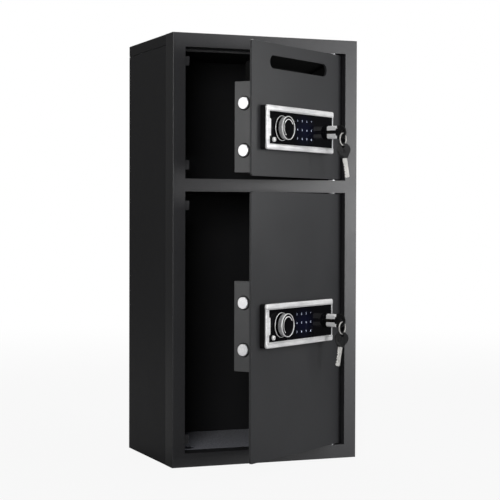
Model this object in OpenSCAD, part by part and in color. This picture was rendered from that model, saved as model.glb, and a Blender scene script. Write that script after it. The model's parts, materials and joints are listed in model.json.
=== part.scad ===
// Steel deposit safe with two doors. The origin is on the floor, under the middle of the cabinet.
// +X is to the right, +Y to the back and +Z up. Each door is drawn shut and then swung open.

/* [Cabinet] */
// Outside width
cab_w = 350; // [330:1:420]
// Outside depth
cab_d = 250; // [235:1:320]
// Height of the lower doorway
lower_open = 453; // [400:1:600]
// Height of the upper doorway
upper_open = 227; // [225:1:320]
// Thickness of the cabinet sheet
sheet = 2; // [1.5:0.5:2.5]
// Depth of the front frame
frame_d = 38; // [37:1:44]
// Width of each upright of the front frame
jamb_w = 23; // [21:1:28]
// Height of the top rail
top_rail = 24; // [23:1:34]
// Height of the bar between the doorways
divider = 22; // [16:1:34]
// Height of the sill
sill = 24; // [20:1:34]
// Open seam between neighbouring sheets
seam = 0.6; // [0.3:0.1:0.9]
// Drop of the top cover down the sides
cover_lip = 19; // [12:1:22]
// Height of the lap that the top cover sits round
lap_h = 12; // [8:1:20]
// Width of the rim round the back panel
rim_w = 14; // [10:1:24]

/* [Interior] */
// Thickness of the carpet in the lower compartment
lower_mat_t = 3; // [2:0.5:4]
// Thickness of the carpet in the upper compartment
upper_mat_t = 2; // [1:0.5:3]
// Length of each corner bracket's legs
bracket_leg = 16; // [12:1:20]
// Height of each corner bracket
bracket_h = 36; // [20:1:48]
// Drop of the lip behind the top of the upper doorway
top_lip = 4; // [2:0.5:6]
// Distance of a bracket from the floor or roof of its compartment
bracket_in = 30; // [16:1:60]
// Width of the lugs that a shut door rests on
stop_w = 9; // [6:0.5:9]
// Height of the lugs that a shut door rests on
stop_h = 16; // [10:1:24]

/* [Anchors] */
// Diameter of the anchor holes
anchor_d = 12; // [8:1:14]
// Diameter of the access holes above the base anchors
access_d = 30; // [20:1:40]
// Spacing of the base anchors across the cabinet
base_anchor_x = 250; // [120:1:270]
// Spacing of the base anchors from front to back
base_anchor_y = 150; // [60:1:160]
// Spacing of the back anchors across the cabinet
back_anchor_x = 200; // [80:1:270]
// Spacing of the back anchors up the cabinet
back_anchor_z = 300; // [120:1:340]

/* [Doors] */
// Angle that the doors stand open
door_ajar = 35.2; // [0:0.1:60]
// Thickness of the door plates
door_t = 4; // [3:0.5:5]
// Distance of a shut door behind the frame's face
door_recess = 1; // [0.5:0.5:2]
// Gap beside the free edge of a door
gap_free = 2; // [1.5:0.5:3]
// Gap beside the hinged edge of a door
gap_hinge = 3.5; // [3:0.5:5]
// Gap above and below a door
gap_v = 2; // [1.8:0.1:3]
// Radius of the corners of the door plates
corner_r = 4; // [2:0.5:8]
// Diameter of the hinge pins
pin_d = 8; // [6:0.5:8]
// Distance of the hinge pins from the doorway's side
pin_inset = 21.5; // [21:0.5:24]
// Width of the square blocks that hold the hinge pins
block_w = 12; // [11:0.5:14]
// Height of the blocks that hold the hinge pins
block_h = 32; // [20:1:50]
// Reach of the hinge pins into the frame
pin_reach = 8; // [5:0.5:11]
// Wall of the hinge bushes
bush_wall = 1.5; // [1:0.5:2]
// Thickness of the flange of the hinge bushes
bush_flange = 1; // [0.5:0.1:1.2]

/* [Deposit slot] */
// Width of the slot
slot_w = 188; // [120:1:200]
// Height of the slot
slot_h = 22; // [10:1:24]
// Distance of the slot's middle below the upper doorway's top
slot_drop = 33.5; // [30:0.5:36]
// Depth of the hood behind the slot
hood_d = 36; // [20:1:40]
// Sheet of the hood
hood_t = 1.5; // [1:0.5:2]
// Distance from the ends of the slot to the hood's cheeks
hood_side = 14; // [8:1:20]
// Fall of the hood's roof from the door to its back
hood_fall = 14.5; // [5:0.5:16]
// Height of the hood's cheeks at the back
cheek_h = 29.5; // [20:0.5:30]
// Height of the hood's back wall
hood_back_h = 17.5; // [10:0.5:20]

/* [Bolt box] */
// Reach of the box beyond the panel's hinge end
box_over = 4; // [2:0.5:8]
// Height of the box
box_h = 150; // [140:1:152]
// Depth of the box
box_d = 36; // [36:1:40]
// Sheet of the box
box_t = 1.5; // [1:0.5:2]
// Distance of the box from the door's free edge
box_in = 10; // [8:1:12]
// Diameter of the locking bolts
bolt_d = 21; // [14:1:22]
// Length of the locking bolts
bolt_len = 46; // [40:1:50]
// Distance of each bolt from the middle of the lock
bolt_rise = 39; // [38:0.5:42]
// Reach of the drawn back bolts beyond the box
bolt_out = 4; // [1:0.5:5]
// Travel of the bolts
bolt_throw = 18; // [14:0.5:20]
// Clearance round the bolts where they leave the box
bolt_clear = 1.5; // [1:0.1:2]
// Clearance round the bolts in the frame's strike holes
strike_clear = 2.5; // [1.5:0.1:2.8]

/* [Lock panel] */
// Width of the panel
panel_w = 220; // [215:1:226]
// Height of the panel
panel_h = 74; // [70:1:90]
// Distance of the panel from the door's free edge
panel_in = 26; // [24:1:30]
// Height of the upper panel's middle above its doorway's floor
upper_lock = 83; // [80:1:88]
// Height of the lower panel's middle above its doorway's floor
lower_lock = 228; // [120:1:300]
// Depth of the black housing
housing_t = 10; // [8:0.5:14]
// Wall of the housing
housing_wall = 3; // [2:0.5:4]
// Height of the bright bars along the top and bottom
bar_h = 10; // [6:0.5:12]
// Proud height of the bright bars
bar_t = 4; // [2:0.5:6]
// Width of the bright rim at the left
rim_left = 9; // [6:0.5:12]
// Width of the bright rim at the right
rim_right = 3; // [2:0.5:5]
// Proud height of the side rims
rim_t = 3; // [2:0.5:4]
// Thickness of the glass
glass_t = 1.5; // [1:0.5:2]
// Diameter of the start button
button_d = 8; // [6:0.5:9]
// Place of the start button beside the knob
button_x = -27; // [-29:0.5:-26]
// Place of the start button below the panel's middle
button_z = 20; // [16:0.5:22]

/* [Knob] */
// Diameter of the knob
knob_d = 39.5; // [30:0.5:41]
// Length of the knob
knob_len = 13.5; // [8:0.5:20]
// Distance of the knob from the panel's left end
knob_in = 50; // [48:0.5:52]
// Diameter of the knob's spindle
spindle_d = 8; // [6:0.5:9]
// Turn of the knob that throws the bolts
knob_turn = 90; // [80:1:100]
// Thickness of the scroll disc
scroll_t = 2.5; // [2:0.5:3]
// Diameter of the pin that runs in the scroll
follower_d = 5; // [4:0.5:6]

/* [Key] */
// Distance of the key lock from the panel's right end
key_in = 22; // [18:0.5:26]
// Outside diameter of the key collar
collar_d = 23; // [20:0.5:26]
// Wall of the key collar
collar_wall = 4; // [3:0.5:4.5]
// Length of the key collar in front of the glass
collar_len = 22; // [16:0.5:26]
// Depth of the key collar's mouth
mouth = 10; // [6:0.5:12]
// Height of the slots in the sides of the collar
collar_slot = 6; // [4:0.5:8]
// Diameter of the turning plug
plug_d = 12; // [11:0.5:12]
// Width of the key blade
blade_w = 8.5; // [6:0.5:9]
// Thickness of the key blade
blade_t = 2.2; // [1.5:0.1:2.4]
// Length of the key blade
blade_len = 34; // [24:1:36]
// Width of the key head
bow_d = 24; // [20:0.5:26]
// Thickness of the key head
bow_t = 3.5; // [2.5:0.5:3.5]
// Width of the key's neck
neck_w = 12; // [10:0.5:12]
// Length of the key head with its neck
bow_len = 27; // [25:0.5:32]
// Diameter of the hole in the key head
eye_d = 6.4; // [6:0.2:7]
// Middle diameter of the key ring
ring_d = 21.2; // [20.6:0.2:24]
// Diameter of the key ring's wire
wire_d = 1.8; // [1.2:0.2:2]
// Turn of the spare key about the upright
spare_turn = 25; // [0:1:30]
// Tilt of each spare key
spare_tilt = 8; // [0:1:10]

/* [Hidden] */
$fn = 48;

steel_grey = [0.2, 0.2, 0.21];
dark_grey = [0.13, 0.13, 0.14];
carpet_grey = [0.3, 0.33, 0.38];
bright = [0.85, 0.85, 0.87];
black = [0.03, 0.03, 0.035];
brass = [0.75, 0.6, 0.3];
board_green = [0.1, 0.35, 0.2];

// Clearances that fits share
eps = 0.01;
running = 0.05;
slide_gap = 0.3;
hole_gap = 0.1;

// Cabinet planes
cab_h = sill + lower_open + divider + upper_open + top_rail;
half_w = cab_w / 2;
front = -cab_d / 2;
rear = cab_d / 2;
inner_w = half_w - sheet;
frame_back = front + frame_d;
shell_front = frame_back + seam;
panel_back = rear - sheet;
panel_front = panel_back - sheet;
door_side = half_w - jamb_w;
lower_floor = sill;
lower_top = sill + lower_open;
upper_floor = lower_top + divider;
upper_top = upper_floor + upper_open;
cover_bottom = cab_h - sheet - cover_lip + sheet;
ceiling_w = inner_w - sheet;

// Anchor patterns
base_anchor_mid = (frame_back + panel_back) / 2;
back_anchor_mid = lower_floor + lower_open / 2;

// Door planes, with the door shut
door_front = front + door_recess;
door_back = door_front + door_t;
door_left = -door_side + gap_free;
door_right = door_side - gap_hinge;
pivot_x = door_side - pin_inset;
pivot_y = door_back + block_w / 2;
box_back = door_back + box_d;
box_left = door_left + box_in;

// Lock planes, with the door shut
housing_front = door_front - housing_t;
glass_front = housing_front - glass_t;
panel_left = door_left + panel_in;
panel_right = panel_left + panel_w;
box_right = panel_right + box_over;
knob_x = panel_left + knob_in;
key_x = panel_right - key_in;
knob_back = glass_front - slide_gap;
bush_len = pin_reach + sheet;

// Bolt work
scroll_front = door_back + 2 * slide_gap;
scroll_back = scroll_front + scroll_t;
bar_plate_t = 3;
bar_front = scroll_back + slide_gap;
bar_back = bar_front + bar_plate_t;
bolt_y = bar_back + slide_gap + bolt_d / 2;
bolt_tip = box_left - bolt_out;
bolt_end = bolt_tip + bolt_len;
bar_w = 20;
lug_t = 3;
bar_side_h = bolt_rise + bolt_d / 2 - slide_gap;
follower_in = 8;
scroll_edge = 2.5;
scroll_r = follower_in + bolt_throw + follower_d / 2 + scroll_edge;
hub_d = follower_in * 2 - follower_d - 2;
bolt_hole_d = bolt_d + 2 * bolt_clear;
strike_d = bolt_d + 2 * strike_clear;

// Solenoid above the bolt bar
solenoid_pin_d = 3;
solenoid_w = 19;
solenoid_d = 15;
solenoid_x = bolt_end - lug_t + solenoid_w / 3;
solenoid_bottom = bolt_rise + bolt_d / 2 + 2;
solenoid_top = box_h / 2 - box_t - 1;
pin_bottom = bar_side_h + slide_gap;
pin_y = (bar_front + bar_back) / 2;

// Batteries and circuit board
cell_d = 14.5;
cell_len = 50;
cells = 4;
tray_wall = 2;
tray_w = cell_len + 2 * tray_wall;
tray_h = cells * cell_d + 2 * tray_wall;
tray_shift = 10;
tray_x = (box_left + box_right) / 2 + tray_shift;
cover_border = 4;
cover_t = 1.6;
board_w = 70;
board_h = 46;
board_t = 1.6;
board_shift = 19;
board_x = (panel_left + panel_right) / 2 + board_shift;
post_d = 5;
post_len = 2.4;

// Key planes
collar_front = glass_front - collar_len;
plug_front = collar_front + mouth;
barrel_wall = 3;
barrel_d = plug_d + 2 * barrel_wall;
barrel_len = 20;
barrel_back = door_back + barrel_len;
nut_d = 27;
nut_t = 5;
flange_d = collar_d + 3;
slot_over = 2;
flange_t = 1;
head_back = plug_front - slide_gap;
shoulder = collar_front - slide_gap;
head_end = head_back - bow_len;
eye_in = 6;
eye_y = head_end + eye_in;
wire_drop = eye_d / 2 - wire_d / 2 - 0.45;
ring_z = -wire_drop - ring_d / 2;
spare_z = ring_z - ring_d / 2;

// Box between two opposite corners
module block(low, high) {
    translate(low) cube(high - low);
}

// Round bar along X, Y or Z between two places
module rod_x(x0, x1, d) {
    translate([x0, 0, 0]) rotate([0, 90, 0]) cylinder(h = x1 - x0, d = d);
}
module rod_y(y0, y1, d) {
    translate([0, y1, 0]) rotate([90, 0, 0]) cylinder(h = y1 - y0, d = d);
}
module rod_z(z0, z1, d) {
    translate([0, 0, z0]) cylinder(h = z1 - z0, d = d);
}

// Upright plate with round corners, between two heights and two depths
module round_plate(x0, x1, y0, y1, z0, z1, r) {
    block([x0 + r, y0, z0], [x1 - r, y1, z1]);
    block([x0, y0, z0 + r], [x1, y1, z1 - r]);
    for (x = [x0 + r, x1 - r], z = [z0 + r, z1 - r])
        translate([x, 0, z]) rod_y(y0, y1, 2 * r);
}

// Children mirrored to both sides of the cabinet
module both_sides() {
    children();
    mirror([1, 0, 0]) children();
}

// Children at each corner of a rectangle across X and Y
module at_corners(dx, dy) {
    for (x = [-dx / 2, dx / 2], y = [-dy / 2, dy / 2]) translate([x, y, 0]) children();
}

// Front frame: hollow bars above, between and below the doorways and at their hinged side
module doorway(z0, z1, grow) {
    block([-half_w, front - eps, z0 - grow], [door_side + grow, frame_back + eps, z1 + grow]);
}
module frame_hollow() {
    difference() {
        block([-half_w, front + sheet, sheet], [inner_w, frame_back - sheet, cab_h - sheet]);
        doorway(lower_floor, lower_top, sheet);
        doorway(upper_floor, upper_top, sheet);
    }
}
module stop_lug(z) {
    stop_y = door_back + slide_gap;
    block([-door_side, stop_y, z], [-door_side + stop_w, stop_y + sheet, z + stop_h]);
}
module bush_hole(z) {
    translate([pivot_x, pivot_y, z])
        rod_z(-sheet - eps, sheet + eps, pin_d + 2 * running + 2 * bush_wall + hole_gap);
}
module front_frame() {
    color(steel_grey) {
        difference() {
            block([-door_side, front, 0], [half_w, frame_back, cab_h]);
            doorway(lower_floor, lower_top, 0);
            doorway(upper_floor, upper_top, 0);
            frame_hollow();
            for (z = [lower_floor, lower_top, upper_floor, upper_top]) bush_hole(z);
        }
        block([-door_side, frame_back - sheet, upper_top - top_lip],
              [door_side, frame_back, upper_top]);
    }
}

// Hollow upright at the doors' free edges, with the holes that receive the bolts
module left_upright() {
    color(steel_grey) {
        difference() {
            block([-half_w, front, 0], [-door_side, frame_back, cab_h]);
            block([-inner_w, front + sheet, sheet],
                  [-door_side - sheet, frame_back - sheet, cab_h - sheet]);
            for (z = [upper_floor + upper_lock, lower_floor + lower_lock], s = [-1, 1])
                translate([-door_side, bolt_y, z + s * bolt_rise]) rod_x(-2 * sheet, sheet, strike_d);
        }
        for (z = [lower_floor, upper_floor]) stop_lug(z + stop_h);
        for (z = [lower_top, upper_top]) stop_lug(z - 2 * stop_h);
    }
}

// Side sheet with a rear rim and an inner lap under the top cover
module side_panel() {
    color(dark_grey) {
        block([-half_w, shell_front, 0], [-inner_w, rear, cover_bottom - seam]);
        block([-inner_w, shell_front, cover_bottom - lap_h],
              [-ceiling_w, panel_front, cab_h - 2 * sheet]);
        block([-inner_w, panel_back, 0], [-half_w + rim_w, rear, cover_bottom - seam]);
    }
}

// Top sheet with a lip down each side and the back
module top_cover() {
    color(dark_grey) difference() {
        block([-half_w, shell_front, cover_bottom], [half_w, rear, cab_h]);
        block([-inner_w, shell_front - sheet, cover_bottom - sheet], [inner_w, panel_back, cab_h - sheet]);
    }
}

module ceiling_panel() {
    color(dark_grey) block([-ceiling_w, frame_back, upper_top], [ceiling_w, panel_front, upper_top + sheet]);
}

module back_panel() {
    color(dark_grey) difference() {
        block([-inner_w, panel_front, sheet], [inner_w, panel_back, cab_h - 2 * sheet]);
        for (x = [-1, 1], z = [-1, 1])
            translate([x * back_anchor_x / 2, 0, back_anchor_mid + z * back_anchor_z / 2])
                rod_y(panel_front - eps, panel_back + eps, anchor_d);
        for (s = [-1, 1])
            block([s * inner_w - sheet, panel_front - eps, cover_bottom - lap_h - seam],
                  [s * inner_w + sheet, panel_front + eps, cab_h]);
    }
}

module base_holes(z0, z1, d) {
    translate([0, base_anchor_mid, 0]) at_corners(base_anchor_x, base_anchor_y) rod_z(z0, z1, d);
}
module base_plate() {
    color(dark_grey) difference() {
        union() {
            block([-inner_w, shell_front, 0], [inner_w, panel_back, sheet]);
            block([-half_w + rim_w + seam, panel_back - eps, 0], [half_w - rim_w - seam, rear, rim_w]);
        }
        base_holes(-eps, sheet + eps, anchor_d);
        block([-half_w, panel_front, sheet], [half_w, panel_back, cab_h]);
    }
}

// Raised floor of the lower compartment, standing on the base
pan_top = sill - lower_mat_t;
module floor_pan() {
    color(dark_grey) difference() {
        block([-inner_w, shell_front, sheet], [inner_w, panel_front, pan_top]);
        block([-inner_w + sheet, shell_front - eps, sheet - eps],
              [inner_w - sheet, panel_front + eps, pan_top - sheet]);
        base_holes(0, sill, access_d);
    }
}

// Carpet in both compartments, the lower one with access holes above the anchors
shelf_top = upper_floor - upper_mat_t;
module carpets() {
    color(carpet_grey) {
        difference() {
            block([-inner_w, shell_front, pan_top], [inner_w, panel_front, lower_floor]);
            base_holes(0, sill + eps, access_d);
        }
        block([-inner_w, shell_front, shelf_top], [inner_w, panel_front, upper_floor]);
    }
}

// Folded shelf, open at the front and back
module divider_shelf() {
    color(dark_grey) difference() {
        block([-inner_w, frame_back, lower_top], [inner_w, panel_front, shelf_top]);
        block([-inner_w + sheet, frame_back - eps, lower_top + sheet],
              [inner_w - sheet, panel_front + eps, shelf_top - sheet]);
    }
}

// Angle brackets between the front frame and the side panels
module corner_brackets() {
    color(steel_grey) both_sides()
        for (z = [lower_floor + bracket_in, lower_top - bracket_in - bracket_h,
                  upper_floor + bracket_in, upper_top - bracket_in - bracket_h]) {
            block([-inner_w, frame_back, z],
                  [-inner_w + bracket_leg, frame_back + sheet, z + bracket_h]);
            block([-inner_w, frame_back + sheet, z],
                  [-inner_w + sheet, frame_back + bracket_leg, z + bracket_h]);
        }
}

// Flanged bush, standing up from the doorway's side of its hole
bush_d = pin_d + 2 * running + 2 * bush_wall;
module hinge_bush() {
    difference() {
        union() {
            rod_z(0, bush_len, bush_d);
            rod_z(-bush_flange, 0, bush_d + 2);
        }
        rod_z(-bush_flange - eps, bush_len + eps, pin_d + 2 * running);
    }
}
module hinge_bushes() {
    color(bright) for (z = [lower_top, upper_top]) {
        translate([pivot_x, pivot_y, z]) hinge_bush();
        translate([pivot_x, pivot_y, z == lower_top ? lower_floor : upper_floor])
            mirror([0, 0, 1]) hinge_bush();
    }
}

// The two doors: floor of the doorway, height of the doorway and height of the lock
upper = 1;
lower = 0;
function floor_of(door) = door == upper ? upper_floor : lower_floor;
function open_of(door) = door == upper ? upper_open : lower_open;
function lock_of(door) = floor_of(door) + (door == upper ? upper_lock : lower_lock);

// Swings what is drawn on a shut door to the angle that it stands at
module ajar() {
    translate([pivot_x, pivot_y, 0]) rotate([0, 0, door_ajar])
        translate([-pivot_x, -pivot_y, 0]) children();
}

// Places what belongs to a lock on its door
module on_lock(door) {
    ajar() translate([0, 0, lock_of(door)]) children();
}

module slot_cut(door) {
    if (door == upper) {
        z = upper_top - slot_drop;
        round_plate(-slot_w / 2, slot_w / 2, door_front - eps, door_back + eps,
                    z - slot_h / 2, z + slot_h / 2, slot_h / 2 - eps);
    }
}
module hinge_block(z0) {
    difference() {
        block([pivot_x - block_w / 2, door_back, z0],
              [pivot_x + block_w / 2, door_back + block_w, z0 + block_h]);
        translate([pivot_x, pivot_y, 0]) rod_z(z0 - eps, z0 + block_h + eps, pin_d + hole_gap);
    }
}
module door_plate(door) {
    low = floor_of(door) + gap_v;
    high = floor_of(door) + open_of(door) - gap_v;
    color(steel_grey) ajar() {
        difference() {
            round_plate(door_left, door_right, door_front, door_back, low, high, corner_r);
            slot_cut(door);
            translate([0, 0, lock_of(door)]) {
                translate([knob_x, 0, 0]) rod_y(door_front - eps, door_back + eps, spindle_d + 2 * running);
                translate([key_x, 0, 0]) rod_y(door_front - eps, door_back + eps, barrel_d + hole_gap);
                translate([board_x, 0, 0]) rod_y(door_front - eps, door_back + eps, post_d * 2);
            }
        }
        hinge_block(low);
        hinge_block(high - block_h);
    }
}

// Pin with a collar that carries the door on its bush
module hinge_pin() {
    rod_z(-block_h, gap_v + pin_reach, pin_d);
    rod_z(0, gap_v - bush_flange - slide_gap, pin_d + 2 * bush_wall);
}
module hinge_pins(door) {
    color(bright) ajar() {
        translate([pivot_x, pivot_y, floor_of(door) + open_of(door) - gap_v]) hinge_pin();
        translate([pivot_x, pivot_y, floor_of(door) + gap_v]) mirror([0, 0, 1]) hinge_pin();
    }
}

// Hood behind the slot: a sloping roof, two cheeks and a back wall, open below
module hood_section(grow) {
    roof = upper_top - slot_drop + slot_h / 2 + 2 * hood_t;
    top_back = roof - hood_fall;
    polygon([
        [door_back - (grow > 0 ? 1 : 0), roof - grow],
        [door_back + hood_d - grow, top_back - grow],
        [door_back + hood_d - grow, top_back - cheek_h - grow],
        [door_back - (grow > 0 ? 1 : 0), top_back - cheek_h - grow]
    ]);
}
module across(w) {
    rotate([90, 0, 90]) translate([0, 0, -w / 2]) linear_extrude(height = w) children();
}
module deposit_hood() {
    hood_w = slot_w + 2 * hood_side;
    roof = upper_top - slot_drop + slot_h / 2 + 2 * hood_t;
    lip = 10;
    color(steel_grey) ajar() {
        difference() {
            across(hood_w) hood_section(0);
            across(hood_w - 2 * hood_t) hood_section(hood_t);
            block([-hood_w / 2 + hood_t, door_back + hood_t, 0],
                  [hood_w / 2 - hood_t, door_back + hood_d + eps, roof - hood_fall - hood_back_h]);
        }
        block([-hood_w / 2, door_back, roof], [hood_w / 2, door_back + hood_t, roof + lip]);
    }
}

// Box over the bolt work, open towards the door plate
module bolt_box() {
    color(steel_grey) difference() {
        block([box_left, door_back, -box_h / 2], [box_right, box_back, box_h / 2]);
        block([box_left + box_t, door_back - eps, -box_h / 2 + box_t],
              [box_right - box_t, box_back - box_t, box_h / 2 - box_t]);
        for (s = [-1, 1]) translate([0, bolt_y, s * bolt_rise])
            rod_x(box_left - eps, box_left + box_t + eps, bolt_hole_d);
        block([tray_x - tray_w / 2, box_back - 2 * box_t, -tray_h / 2],
              [tray_x + tray_w / 2, box_back + eps, tray_h / 2]);
    }
}
module battery_cover() {
    color(black) {
        block([tray_x - tray_w / 2 - cover_border, box_back, -tray_h / 2 - cover_border],
              [tray_x + tray_w / 2 + cover_border, box_back + cover_t, tray_h / 2 + cover_border]);
        block([tray_x - tray_w / 8, box_back + cover_t, tray_h / 2 - tray_wall],
              [tray_x + tray_w / 8, box_back + 2 * cover_t, tray_h / 2 + tray_wall]);
    }
}
module battery_pack() {
    color(black) {
        difference() {
            block([tray_x - tray_w / 2 + hole_gap, box_back - cell_d - tray_wall, -tray_h / 2 + hole_gap],
                  [tray_x + tray_w / 2 - hole_gap, box_back - box_t, tray_h / 2 - hole_gap]);
            block([tray_x - cell_len / 2, box_back - cell_d, -tray_h / 2 + tray_wall],
                  [tray_x + cell_len / 2, box_back + eps, tray_h / 2 - tray_wall]);
        }
        for (i = [0 : cells - 1])
            translate([tray_x, box_back - cell_d / 2 - slide_gap, (i - (cells - 1) / 2) * cell_d])
                rod_x(-cell_len / 2, cell_len / 2, cell_d - hole_gap);
    }
}

// Solenoid whose pin rides on the bolt bar's top edge
module solenoid() {
    color(bright) difference() {
        block([solenoid_x - solenoid_w / 2, door_back, solenoid_bottom],
              [solenoid_x + solenoid_w / 2, door_back + solenoid_d, solenoid_top]);
        translate([solenoid_x, pin_y, 0])
            rod_z(solenoid_bottom - eps, solenoid_top - box_t, solenoid_pin_d + 2 * running);
    }
}
module solenoid_pin() {
    room = 4;
    color(bright) translate([solenoid_x, pin_y, 0])
        rod_z(pin_bottom, solenoid_top - box_t - room, solenoid_pin_d);
}
module circuit_board() {
    color(board_green) {
        block([board_x - board_w / 2, door_back + post_len, -board_h / 2],
              [board_x + board_w / 2, door_back + post_len + board_t, board_h / 2]);
        for (x = [-1, 1], z = [-1, 1])
            translate([board_x + x * (board_w / 2 - post_d), 0, z * (board_h / 2 - post_d)])
                rod_y(door_back, door_back + post_len, post_d);
    }
}

// Bar that links the bolts, with a pin that runs in the scroll
bar_right = knob_x - follower_in + follower_d / 2 + 2;
module bolt_bar() {
    color(bright) {
        block([bar_right - bar_w, bar_front, -bar_side_h], [bar_right, bar_back, bar_side_h]);
        for (s = [-1, 1])
            block([bolt_end, bar_back - eps, s * bolt_rise - bolt_d / 3],
                  [bolt_end + lug_t, bolt_y + bolt_d / 3, s * bolt_rise + bolt_d / 3]);
        translate([knob_x - follower_in, 0, 0])
            rod_y(scroll_front + slide_gap, bar_front + eps, follower_d);
    }
}
module bolts() {
    color(bright) for (s = [-1, 1])
        translate([0, bolt_y, s * bolt_rise]) {
            rod_x(bolt_tip + 1, bolt_end, bolt_d);
            translate([bolt_tip, 0, 0]) rotate([0, 90, 0]) cylinder(h = 1, d1 = bolt_d - 2, d2 = bolt_d);
        }
}

// Hollow housing between the door and the glass
module lock_housing() {
    r = 5;
    color(black) difference() {
        round_plate(panel_left, panel_right, housing_front, door_front, -panel_h / 2, panel_h / 2, r);
        difference() {
            block([panel_left + housing_wall, housing_front + housing_wall, -panel_h / 2 + housing_wall],
                  [panel_right - housing_wall, door_front + eps, panel_h / 2 - housing_wall]);
            translate([key_x, 0, 0]) rod_y(housing_front, door_front, barrel_d + 2 * housing_wall);
        }
        translate([knob_x, 0, 0]) rod_y(housing_front - eps, door_front, spindle_d + 1);
        translate([key_x, 0, 0]) rod_y(housing_front - eps, door_front + eps, barrel_d + hole_gap);
        translate([knob_x + button_x, 0, -button_z])
            rod_y(housing_front - eps, door_front, button_d + hole_gap * 3);
    }
}

// Bright bars above and below the glass, rims beside it and a tab on the left rim
tab_w = 4;
tab_h = panel_h * 0.4;
module bezel() {
    r = 4;
    rim_top = panel_h / 2 - bar_h + r;
    rim_front = housing_front - rim_t;
    color(bright) {
        for (z = [-panel_h / 2, panel_h / 2 - bar_h])
            round_plate(panel_left, panel_right, housing_front - bar_t, housing_front, z, z + bar_h, r);
        block([panel_left, rim_front, -rim_top], [panel_left + rim_left, housing_front, rim_top]);
        block([panel_right - rim_right, rim_front, -rim_top], [panel_right, housing_front, rim_top]);
        block([panel_left + rim_left - eps, rim_front, -tab_h / 2],
              [panel_left + rim_left + tab_w, housing_front, tab_h / 2]);
    }
}
module keypad_glass() {
    color(black) difference() {
        block([panel_left + rim_left, glass_front, -panel_h / 2 + bar_h],
              [panel_right - rim_right, housing_front, panel_h / 2 - bar_h]);
        block([panel_left, glass_front - eps, -tab_h / 2 - hole_gap],
              [panel_left + rim_left + tab_w + hole_gap, housing_front + eps, tab_h / 2 + hole_gap]);
        translate([knob_x, 0, 0]) rod_y(glass_front - eps, housing_front + eps, spindle_d + 1);
        translate([key_x, 0, 0]) rod_y(glass_front - eps, housing_front + eps, barrel_d + hole_gap);
        translate([knob_x + button_x, 0, -button_z])
            rod_y(glass_front - eps, housing_front + eps, button_d + hole_gap * 3);
    }
}

// Domed button with a flange behind the housing's wall
module start_button() {
    dome = button_d / 4;
    flange_y = housing_front + housing_wall + slide_gap;
    color(bright) translate([knob_x + button_x, 0, -button_z]) {
        rod_y(glass_front - dome, flange_y + eps, button_d);
        rod_y(flange_y, flange_y + 1, button_d + 2);
        translate([0, glass_front - dome + eps, 0]) rotate([90, 0, 0])
            cylinder(h = dome, d1 = button_d, d2 = button_d / 2);
    }
}

module knob() {
    lip = 1;
    color(black) translate([knob_x, 0, 0]) difference() {
        union() {
            rod_y(knob_back - knob_len + lip, knob_back, knob_d);
            translate([0, knob_back - knob_len + lip, 0]) rotate([90, 0, 0])
                cylinder(h = lip, d1 = knob_d, d2 = knob_d - 2 * lip);
        }
        rod_y(knob_back - knob_len / 2, knob_back + eps, spindle_d + 2 * running);
    }
}

// Outline of the spiral slot in the scroll disc: the follower moves out evenly as the knob turns
scroll_steps = 30;
slot_half = follower_d / 2 + slide_gap;
function scroll_at(t, side) =
    let (a = 180 - knob_turn * t, r = follower_in + bolt_throw * t,
         along = [bolt_throw * cos(a), bolt_throw * sin(a)]
               + r * knob_turn * PI / 180 * [sin(a), -cos(a)])
    r * [cos(a), sin(a)] + side / norm(along) * [-along[1], along[0]];
module scroll_slot() {
    linear_extrude(height = scroll_t + 2 * eps) polygon(concat(
        [for (i = [0 : scroll_steps]) scroll_at(i / scroll_steps, slot_half)],
        [for (i = [scroll_steps : -1 : 0]) scroll_at(i / scroll_steps, -slot_half)]));
    for (t = [0, 1]) translate(scroll_at(t, 0)) cylinder(h = scroll_t + 2 * eps, d = 2 * slot_half);
}
module knob_spindle() {
    color(bright) translate([knob_x, 0, 0]) {
        rod_y(knob_back - knob_len / 2 + slide_gap, scroll_back, spindle_d);
        difference() {
            rod_y(scroll_front, scroll_back, 2 * scroll_r);
            translate([0, scroll_back + eps, 0]) rotate([90, 0, 0]) scroll_slot();
        }
    }
}

// Fixed collar with a slotted mouth, its barrel and its nut
module key_collar() {
    color(bright) translate([key_x, 0, 0]) difference() {
        union() {
            rod_y(collar_front, glass_front, collar_d);
            rod_y(glass_front - flange_t, glass_front, flange_d);
            rod_y(glass_front, barrel_back, barrel_d);
            translate([0, door_back + nut_t, 0]) rotate([90, 0, 0]) cylinder(h = nut_t, d = nut_d, $fn = 6);
        }
        rod_y(collar_front - eps, plug_front, collar_d - 2 * collar_wall);
        rod_y(collar_front - eps, barrel_back + eps, plug_d + 2 * running);
        block([-collar_d, collar_front - eps, -collar_slot / 2],
              [collar_d, plug_front + slot_over, collar_slot / 2]);
    }
}

// Turning plug with its keyway and the cam at its tail
module key_plug() {
    cam_t = 2;
    cam_len = 16;
    color(brass) translate([key_x, 0, 0]) {
        difference() {
            rod_y(plug_front, barrel_back + slide_gap + eps, plug_d);
            block([-blade_t / 2 - hole_gap, plug_front - eps, -blade_w / 2 - hole_gap],
                  [blade_t / 2 + hole_gap, plug_front + blade_len + hole_gap, blade_w / 2 + hole_gap]);
        }
        block([-cam_len, barrel_back + slide_gap, -plug_d / 3],
              [plug_d / 3, barrel_back + slide_gap + cam_t, plug_d / 3]);
    }
}

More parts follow.
